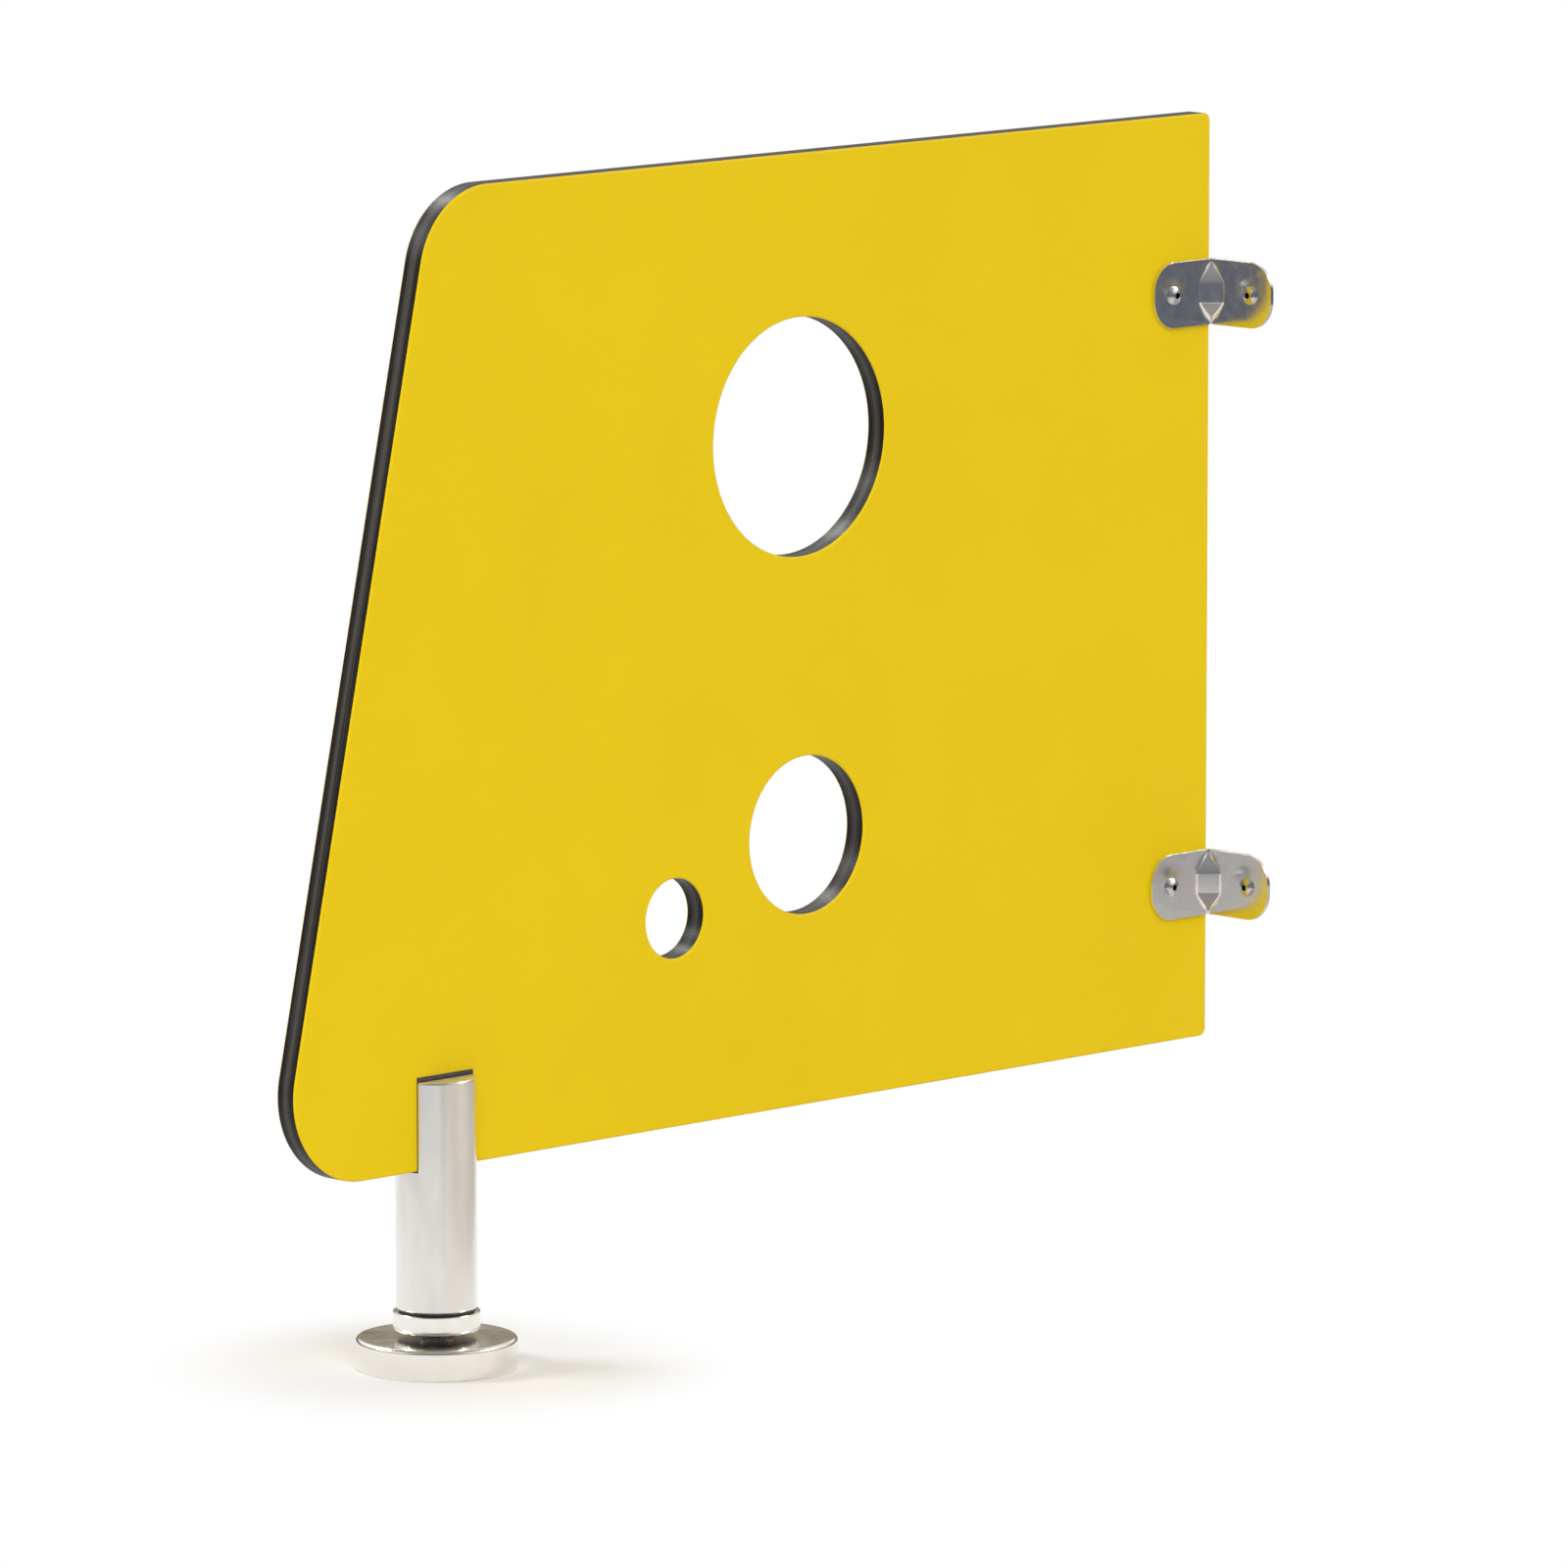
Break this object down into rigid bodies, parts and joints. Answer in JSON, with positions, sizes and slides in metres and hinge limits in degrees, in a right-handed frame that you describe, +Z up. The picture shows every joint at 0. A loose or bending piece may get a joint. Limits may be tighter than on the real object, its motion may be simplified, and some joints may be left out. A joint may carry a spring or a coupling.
{
  "type": "partition panel",
  "caption": "Low washroom partition panel with a leaning free edge and round openings, on a slotted screw-foot leg and pressed wall brackets.",
  "frame": {"origin": "point where the leg axis meets the floor, at the centre of the foot's underside", "axes": "+X along the panel to the wall, -Y out of the panel's front face, +Z up the leg"},
  "size_m": [0.6501, 0.0905, 0.58],
  "materials": {
    "laminate_core": "black phenolic core, machined and eased, satin",
    "yellow_decor": "plain yellow melamine decor, fine satin",
    "polished_steel": "polished stainless steel",
    "bracket_steel": "bright pressed stainless steel",
    "screw_steel": "bright turned steel",
    "flange_steel": "turned steel",
    "black_rubber": "matte black rubber",
    "bush_nylon": "natural nylon",
    "washer_nylon": "black nylon",
    "insert_brass": "turned brass"
  },
  "bodies": {
    "panel": {"core_panel": "laminate_core", "front_decor": "yellow_decor", "rear_decor": "yellow_decor", "leg_post": "polished_steel", "slot_liner": "black_rubber", "leg_clamp_screws": "screw_steel", "guide_bush": "bush_nylon", "thrust_washer": "washer_nylon", "upper_bracket": "bracket_steel", "lower_bracket": "bracket_steel", "panel_inserts": "insert_brass", "panel_screws": "screw_steel", "wall_screws": "screw_steel"},
    "collar": {"adjusting_collar": "polished_steel"},
    "foot": {"threaded_stud": "screw_steel", "stud_locknut": "screw_steel", "base_flange": "flange_steel", "cover_rosette": "polished_steel", "floor_pad": "black_rubber"}
  },
  "joints": [
    {"name": "collar_turn", "type": "hinge", "parent": "panel", "child": "collar", "pos_m": [0, 0, 0.0231], "axis": [0, 0, 1], "range_deg": [-540, 2700]},
    {"name": "panel_lift", "type": "slide", "parent": "foot", "child": "panel", "axis": [0, 0, 1], "range_m": [-0.003, 0.015]}
  ],
  "couplings": [
    {"joint": "collar_turn", "follows": "panel_lift", "rad_per_m": 3141.6}
  ]
}
